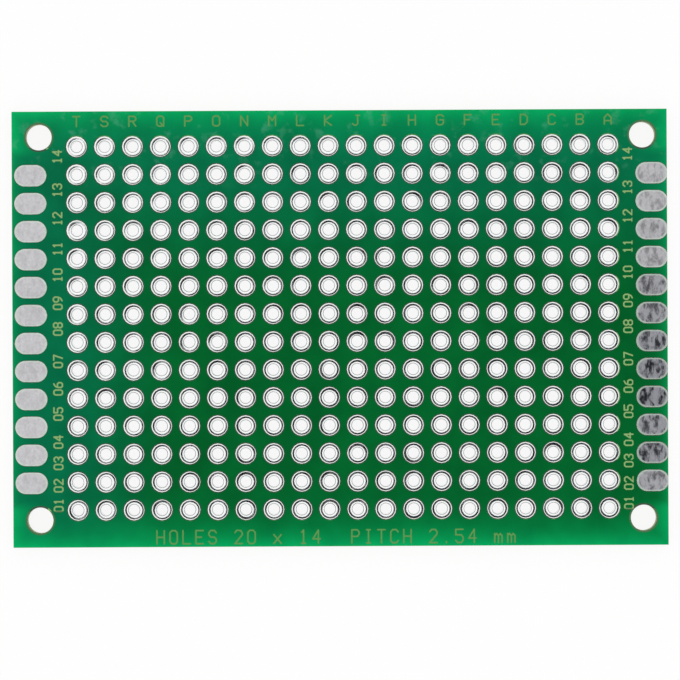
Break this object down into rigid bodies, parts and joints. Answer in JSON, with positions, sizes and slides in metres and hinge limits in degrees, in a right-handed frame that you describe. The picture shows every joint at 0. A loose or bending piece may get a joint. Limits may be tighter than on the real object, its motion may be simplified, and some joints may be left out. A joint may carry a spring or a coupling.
{
  "type": "prototype board",
  "caption": "Double-sided prototype board: green solder mask over glass-epoxy laminate, a grid of plated holes, edge pads at both ends and corner mounting holes.",
  "frame": {"origin": "middle of the underside, in the plane of the back pads' tin", "axes": "+X along the board towards column A, +Y towards the column letters, +Z out of the lettered front"},
  "size_m": [0.0596, 0.0396, 0.0017],
  "materials": {
    "glass_epoxy": "milled",
    "solder_mask": "gloss",
    "bright_tin": "bright",
    "scuffed_tin": "scuffed"
  },
  "bodies": {
    "root": {"substrate": "glass_epoxy", "front_solder_mask": "solder_mask", "back_solder_mask": "solder_mask", "plated_holes_column_a": "bright_tin", "plated_holes_column_b": "bright_tin", "plated_holes_column_c": "bright_tin", "plated_holes_column_d": "bright_tin", "plated_holes_column_e": "bright_tin", "plated_holes_column_f": "bright_tin", "plated_holes_column_g": "bright_tin", "plated_holes_column_h": "bright_tin", "plated_holes_column_i": "bright_tin", "plated_holes_column_j": "bright_tin", "plated_holes_column_k": "bright_tin", "plated_holes_column_l": "bright_tin", "plated_holes_column_m": "bright_tin", "plated_holes_column_n": "bright_tin", "plated_holes_column_o": "bright_tin", "plated_holes_column_p": "bright_tin", "plated_holes_column_q": "bright_tin", "plated_holes_column_r": "bright_tin", "plated_holes_column_s": "bright_tin", "plated_holes_column_t": "bright_tin", "front_edge_pad_left_02": "scuffed_tin", "front_edge_pad_left_03": "scuffed_tin", "front_edge_pad_left_04": "scuffed_tin", "front_edge_pad_left_05": "scuffed_tin", "front_edge_pad_left_06": "scuffed_tin", "front_edge_pad_left_07": "scuffed_tin", "front_edge_pad_left_08": "scuffed_tin", "front_edge_pad_left_09": "scuffed_tin", "front_edge_pad_left_10": "scuffed_tin", "front_edge_pad_left_11": "scuffed_tin", "front_edge_pad_left_12": "scuffed_tin", "front_edge_pad_left_13": "scuffed_tin", "front_edge_pad_right_02": "scuffed_tin", "front_edge_pad_right_03": "scuffed_tin", "front_edge_pad_right_04": "scuffed_tin", "front_edge_pad_right_05": "scuffed_tin", "front_edge_pad_right_06": "scuffed_tin", "front_edge_pad_right_07": "scuffed_tin", "front_edge_pad_right_08": "scuffed_tin", "front_edge_pad_right_09": "scuffed_tin", "front_edge_pad_right_10": "scuffed_tin", "front_edge_pad_right_11": "scuffed_tin", "front_edge_pad_right_12": "scuffed_tin", "front_edge_pad_right_13": "scuffed_tin", "back_edge_pads_left": "scuffed_tin", "back_edge_pads_right": "scuffed_tin"}
  },
  "joints": []
}
